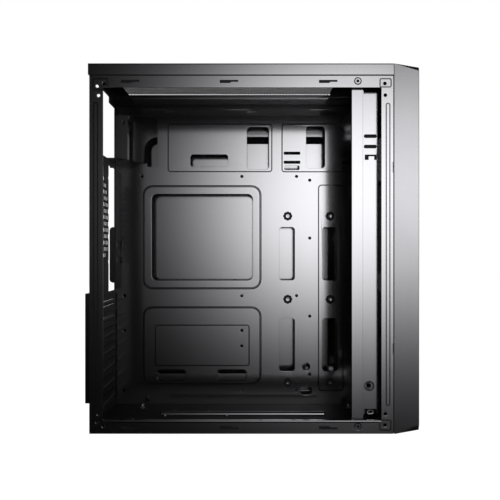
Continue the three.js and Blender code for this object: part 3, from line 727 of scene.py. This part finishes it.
# ---------------------------------------------------------------------------------------------
# Power supply shelf. A small steel gusset spot welded into the rear top corner, with a flange
# folded down in front of the tray.
# ---------------------------------------------------------------------------------------------
SHELF = 318.5
gusset = sheet(
    [(1.3, 99), (13.7, 99), (42.7, 159.7), (1.3, 159.7)],
    plane="flat", level=SHELF, thickness=STEEL,
)
gusset_flange = sheet(box_loop(1.3, 42.7, 312.5, SHELF - 0.2), level=158.8, thickness=STEEL)
piece("gusset", [gusset, gusset_flange], paint, "chassis", ["psu_shelf"])

# ---------------------------------------------------------------------------------------------
# Slot screw cover. A narrow housing folded from painted steel over the slot screws; it stands on
# the outside of the rear wall and pulls straight off.
# ---------------------------------------------------------------------------------------------
HOUSE_OUT, HOUSE_WALL = 10.6, 0.8
HOUSE_NEAR, HOUSE_FAR = 28.0, 50.0
HOUSE_LOW, HOUSE_TOP = 28.1, 154.0
house_sides = [
    (HOUSE_NEAR, HOUSE_NEAR + HOUSE_WALL, HOUSE_LOW, HOUSE_TOP),
    (HOUSE_FAR - HOUSE_WALL, HOUSE_FAR, HOUSE_LOW, HOUSE_TOP),
    (HOUSE_NEAR + 0.1, HOUSE_FAR - 0.1, HOUSE_LOW, HOUSE_LOW + HOUSE_WALL),
    (HOUSE_NEAR + 0.1, HOUSE_FAR - 0.1, HOUSE_TOP - HOUSE_WALL, HOUSE_TOP),
]
house = [block(-HOUSE_OUT, HOUSE_WALL - HOUSE_OUT, HOUSE_NEAR, HOUSE_FAR, HOUSE_LOW, HOUSE_TOP, 0.25)]
house += [block(0.1 - HOUSE_OUT, -0.3, *side, 0.2) for side in house_sides]
piece("screw_housing", house, paint, "screw_cover", ["slot_screw_cover"])

# ---------------------------------------------------------------------------------------------
# Front bezel. One moulding in black plastic: sides that lean in to a narrower front face, a
# window over the front mesh, and the holes of the buttons and sockets.
# ---------------------------------------------------------------------------------------------
BACK, FRONT, TAPER, WALL = 338.4, 370.4, 18.6, 2.4
BEZEL_Y = (-1.0, 184.3)
LOW_BEVEL, TOP_BEVEL = (2.2, 6.1), (1.5, 4.0)  # at the front: in from the side, and up or down
CONTROL_Z = 380.0
POWER_Y, RESET_Y, LIGHT_Y = 139.0, 119.0, 128.5
USB_Y, JACK_Y = (56.0, 76.0), (92.0, 104.0)
plastic = coating(
    "black_moulding", (0.004, 0.004, 0.0042), 0.24,
    specular=1.0, grain=0.4, depth=0.002, spread=0.02,
)


def bezel_ring(t, shrink, x):
    """Outline of the moulding at a share t of the way to its front, drawn in by shrink: a rectangle
    whose corners are cut by bevels that grow from nothing at the back."""
    y0, y1 = BEZEL_Y[0] + TAPER * t + shrink, BEZEL_Y[1] - TAPER * t - shrink
    z0, z1 = shrink, HEIGHT - shrink
    s = max(t, 0.02)
    (la, lb), (ta, tb) = np.array(LOW_BEVEL) * s, np.array(TOP_BEVEL) * s
    corners = [(y0 + la, z0), (y1 - la, z0), (y1, z0 + lb), (y1, z1 - tb), (y1 - ta, z1), (y0 + ta, z1),
               (y0, z1 - tb), (y0, z0 + lb)]
    return np.c_[np.full(len(corners), x), corners]


EDGE = 1.0  # radius of the edge round the front face
side_rings = [bezel_ring(0, 0.3, BACK), bezel_ring(0.01, 0, BACK + 0.4)]
for turn in np.linspace(0, 1.4, 7):
    shrink = EDGE * (1 - math.cos(turn)) * 0.8
    t = 1 - EDGE * (1 - math.sin(turn)) / (FRONT - BACK)
    side_rings.append(bezel_ring(t, shrink, FRONT - EDGE * (1 - math.sin(turn))))
side_rings.append(bezel_ring(1, WALL, FRONT - WALL))
side_rings.append(bezel_ring(0, WALL, BACK))
bezel_skirt = loft(side_rings, closed=True)
face_loop = bezel_ring(1, EDGE * 0.6, FRONT)[:, 1:]
front_face = sheet(
    face_loop,
    windows=[(38, 145, 26, 346, 6), hole(POWER_Y, CONTROL_Z, 7.4), hole(RESET_Y, CONTROL_Z, 3.4),
             hole(LIGHT_Y, CONTROL_Z, 1.8)]
    + [(y - 7, y + 7, CONTROL_Z - 3.4, CONTROL_Z + 3.4, 0.8) for y in USB_Y]
    + [hole(y, CONTROL_Z, 3.8) for y in JACK_Y],
    plane="wall", level=FRONT, thickness=WALL, roll=0.5,
)
bezel_clips = [block(333, 349, y - 3, y + 3, z - 5, z + 5, 0.5) for y, z in CLIPS]
POSTS = [(48, 389), (146, 389), (48, 371), (146, 371)]  # for the connector board
post = [(352.9, 2.2), (353.2, 2.5), (FRONT - WALL + 0.2, 2.5)]
posts = [turned(post, at=p, sides=16) for p in POSTS]
bezel = [bezel_skirt, front_face] + bezel_clips + posts
piece("bezel", bezel, plastic, "bezel", ["front_bezel"], smooth=15)

# ---------------------------------------------------------------------------------------------
# Front mesh. A painted steel sheet with staggered six-sided holes, laid behind the bezel's window
# and held by the moulding.
# ---------------------------------------------------------------------------------------------
grille = sheet(
    box_loop(32, 151, 20, 352),
    holes=lattice(36, 148, 24, 349, 4.6, 2.0),
    plane="wall", level=FRONT - WALL - 0.3, thickness=0.8,
)
piece("grille", [grille], paint, "bezel", ["front_mesh"])

# ---------------------------------------------------------------------------------------------
# Buttons. Round moulded caps with a soft edge and a slightly dished face; a flange keeps each
# behind the bezel, and a stem presses its switch.
# ---------------------------------------------------------------------------------------------
for name, y, r, travel in (("power_button", POWER_Y, 7.0, 2.5), ("reset_button", RESET_Y, 3.0, 1.5)):
    face, seat = FRONT - 0.2, FRONT - WALL - 0.3
    back = FRONT - WALL - travel - 2.5
    profile = [(back - 4, 1.2), (back - 3.8, 1.5), (back, 1.5), (back, r + 1.4), (back + 0.2, r + 1.6),
               (seat, r + 1.6), (seat, r), (face - 0.6, r), (face - 0.25, r - 0.15), (face - 0.05, r - 0.5),
               (face, r - 0.9), (face - 0.35, r * 0.6), (face - 0.4, 0.4)]
    cap = turned(profile, at=(y, CONTROL_Z), sides=48)
    piece(name + "_cap", [cap], plastic, name, [name])

# ---------------------------------------------------------------------------------------------
# Feet. Moulded rubber pads with a rounded edge and a hollow underneath; a barbed stem through the
# floor holds each.
# ---------------------------------------------------------------------------------------------
rubber = coating("black_rubber", (0.02, 0.02, 0.02), 0.7, specular=0.3, grain=0.6, depth=0.02)
for k, (x, y) in enumerate(FEET):
    profile = [(-6.6, 4.5), (-7, 5.2), (-7, 7.6), (-6.8, 8.2), (-6.2, 8.7), (-0.7, 9.4), (-0.3, 9.2),
               (-0.3, 3), (1.4, 3), (1.4, 4.2), (4.2, 2.2), (4.5, 1)]
    pad = turned(profile, "z", (x, y), 40)
    piece(f"rubber_foot_{k + 1}", [pad], rubber, "chassis", [f"foot_{k + 1}"])

# ---------------------------------------------------------------------------------------------
# Column eyelets. Hollow rivets of painted steel that hold the column's feet to the rails: the
# rolled rim shows outside, and a collar in painted shade clamps each from within.
# ---------------------------------------------------------------------------------------------
for k, z in enumerate((8.1, 391.8)):
    section = [(2.2, 1.5), (0.1, 1.5), (-0.1, 1.7), (-0.1, 3.0), (0.1, 3.2), (2.2, 3.2)]
    rivet = turned(section, "y", (z, EYE_X), 36, hollow=True)
    collar = turned([(2.2, 4.6), (3.4, 4.6)], "y", (z, EYE_X), 24)
    piece(f"eyelet_{k + 1}", [rivet], paint, "chassis", [f"column_screw_{k + 1}"])
    # The collar takes the painted-shade copy of the black coat.
    piece(f"eyelet_nut_{k + 1}", [collar], shade_coat, "chassis")

# ---------------------------------------------------------------------------------------------
# Thumbscrews of the side panel. Turned steel, painted black: a knurled head, a narrower neck that
# bears on the panel's flange, and a stem through the rear wall.
# ---------------------------------------------------------------------------------------------
for k, z in enumerate(THUMB_Z):
    sides = 96  # four to each of the 24 ridges
    t = np.arange(sides) * 2 * math.pi / sides
    knurl = 1 + 0.035 * np.sign(np.sin(24 * t))
    rings = []
    for along, r, ridged in ((-9, 2.9, 0), (-9, 3.4, 0), (-8.7, 3.8, 1), (-8.3, 3.95, 1), (-3.4, 3.95, 1),
                             (-3.0, 3.7, 1), (-2.8, 3.1, 0), (-1.7, 3.1, 0), (-1.7, 1.7, 0), (5, 1.6, 0)):
        radius = r * (knurl if ridged else 1)
        rings.append(np.c_[np.full(sides, along), THUMB_Y + radius * np.cos(t), z + radius * np.sin(t)])
    body = "side_thumbscrew_low" if k == 0 else "side_thumbscrew_high"
    piece(f"knurled_screw_{k + 1}", [loft(rings, closed=False)], paint, body, [f"thumbscrew_{k + 1}"])

# ---------------------------------------------------------------------------------------------
# Small parts that keep their plain shapes: zinc plated sockets and slot screws, the connector
# board under solder mask, a clear light and black moulded switches and jacks.
# ---------------------------------------------------------------------------------------------
zinc = coating("zinc_plate", (0.55, 0.56, 0.58), 0.32, grain=0.3, depth=0.004, metal=1.0)
mask = coating("solder_mask", (0.012, 0.05, 0.025), 0.35, grain=1.5, depth=0.01)
lens = coating("light_lens", (0.85, 0.9, 0.95), 0.2, grain=2, depth=0.001)
lens.node_tree.nodes["Principled BSDF"].inputs["Transmission Weight"].default_value = 0.8
finishes = {
    zinc: ["usb_port_1", "usb_port_2"] + [f"slot_screw_{k}" for k in range(1, 7)],
    mask: ["front_io_board"],
    lens: ["power_light"],
    plastic: ["power_switch", "reset_switch", "audio_jack_1", "audio_jack_2"],
}
for material, nodes in finishes.items():
    for node in nodes:
        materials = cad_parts[node].data.materials
        materials.clear()
        materials.append(material)

# ---------------------------------------------------------------------------------------------
# Studio. A pale floor and backdrop that light nothing, a soft key light beside the camera and one
# for the bezel's flank, four more for the sides that the camera doesn't see, and the camera
# square on to the open side, level with the middle of the chassis.
# ---------------------------------------------------------------------------------------------
CAMERA_AWAY = 856  # from the open side
VIEW_X, VIEW_Z = (np.array([178.5, 204.1]) + CORNER[[0, 2]]) / 1000
VIEW_Y = (CORNER[1] - CAMERA_AWAY) / 1000
scene = bpy.context.scene
scene.view_settings.view_transform = "Standard"

camera_data = bpy.data.cameras.new("camera")
camera_data.lens = 55.512
camera_data.sensor_width = 36
camera_data.clip_start = 0.01
camera = bpy.data.objects.new("camera", camera_data)
camera.location = (VIEW_X, VIEW_Y, VIEW_Z)
camera.rotation_euler = (math.radians(90), 0, 0)
scene.collection.objects.link(camera)
scene.camera = camera

floor_mesh = bpy.data.meshes.new("studio_floor")
REACH = 12.0  # half of the floor's side, in metres
corners = [(-REACH, -REACH, 0), (REACH, -REACH, 0), (REACH, REACH, 0), (-REACH, REACH, 0)]
floor_mesh.from_pydata(corners, [], [(0, 1, 2, 3)])
floor = bpy.data.objects.new("studio_floor", floor_mesh)
scene.collection.objects.link(floor)
pale = bpy.data.materials.new("pale_floor")
pale.use_nodes = True
pale_shader = pale.node_tree.nodes["Principled BSDF"]
pale_shader.inputs["Base Color"].default_value = (0.06, 0.06, 0.06, 1)
pale_shader.inputs["Roughness"].default_value = 1
pale_shader.inputs["Emission Color"].default_value = (1, 1, 1, 1)
pale_shader.inputs["Emission Strength"].default_value = 1.0
floor_mesh.materials.append(pale)
floor.visible_glossy = False
floor.visible_diffuse = False
floor.visible_shadow = False

world = bpy.data.worlds.new("studio")
scene.world = world
world.use_nodes = True
world.node_tree.nodes["Background"].inputs["Color"].default_value = (1, 1, 1, 1)
world.node_tree.nodes["Background"].inputs["Strength"].default_value = 1.0
world.cycles_visibility.glossy = False
world.cycles_visibility.diffuse = False


def soft_light(name, spread, steep, place, aim, radiance):
    """A round soft light: its brightness falls off from the middle as exp(-(distance / spread) **
    steep), on a square wide enough to hold all of it. radiance is the middle's brightness."""
    reach = 2.4  # half of the square, in spreads
    data = bpy.data.lights.new(name, "AREA")
    data.shape = "SQUARE"
    data.size = 2 * reach * spread
    data.energy = radiance * math.pi * data.size**2
    data.color = (0.965, 0.96, 1.0)
    data.use_nodes = True
    tree = data.node_tree
    where = tree.nodes.new("ShaderNodeNewGeometry")
    centred = tree.nodes.new("ShaderNodeVectorMath")
    centred.operation = "MULTIPLY_ADD"
    centred.inputs[1].default_value = (2 * reach, 2 * reach, 0)
    centred.inputs[2].default_value = (-reach, -reach, 0)
    distance = tree.nodes.new("ShaderNodeVectorMath")
    distance.operation = "LENGTH"
    power = tree.nodes.new("ShaderNodeMath")
    power.operation = "POWER"
    power.inputs[1].default_value = steep
    falling = tree.nodes.new("ShaderNodeMath")
    falling.operation = "MULTIPLY"
    falling.inputs[1].default_value = -1
    bell = tree.nodes.new("ShaderNodeMath")
    bell.operation = "EXPONENT"
    link = tree.links.new
    link(where.outputs["Parametric"], centred.inputs[0])
    link(centred.outputs[0], distance.inputs[0])
    link(distance.outputs["Value"], power.inputs[0])
    link(power.outputs[0], falling.inputs[0])
    link(falling.outputs[0], bell.inputs[0])
    link(bell.outputs[0], tree.nodes["Emission"].inputs["Strength"])
    light = bpy.data.objects.new(name, data)
    light.location = Vector(place)
    light.rotation_euler = (Vector(aim) - light.location).to_track_quat("-Z", "Y").to_euler()
    light.visible_camera = False
    scene.collection.objects.link(light)


key_place = (VIEW_X + 0.235, VIEW_Y - 0.02, VIEW_Z + 0.147)
soft_light("key", 0.316, 2.35, key_place, (key_place[0], 0, key_place[2]), 13.2)
soft_light("bezel_light", 0.29, 2.3, (1.13, -0.42, 0.37), (0.17, -0.05, 0.3), 10.2)
centre = (0, 0, VIEW_Z)
soft_light("front_corner_light", 1.35, 2.2, (2.3, 2.5, 0.3), centre, 2.4)
soft_light("rear_corner_light", 1.35, 2.2, (-2.3, 2.5, 0.3), centre, 2.4)
soft_light("open_corner_light", 0.7, 2.2, (-2.5, -1.7, 0.3), centre, 2.0)
soft_light("top_light", 0.8, 2.2, (0.1, 0.9, 2.6), centre, 2.2)
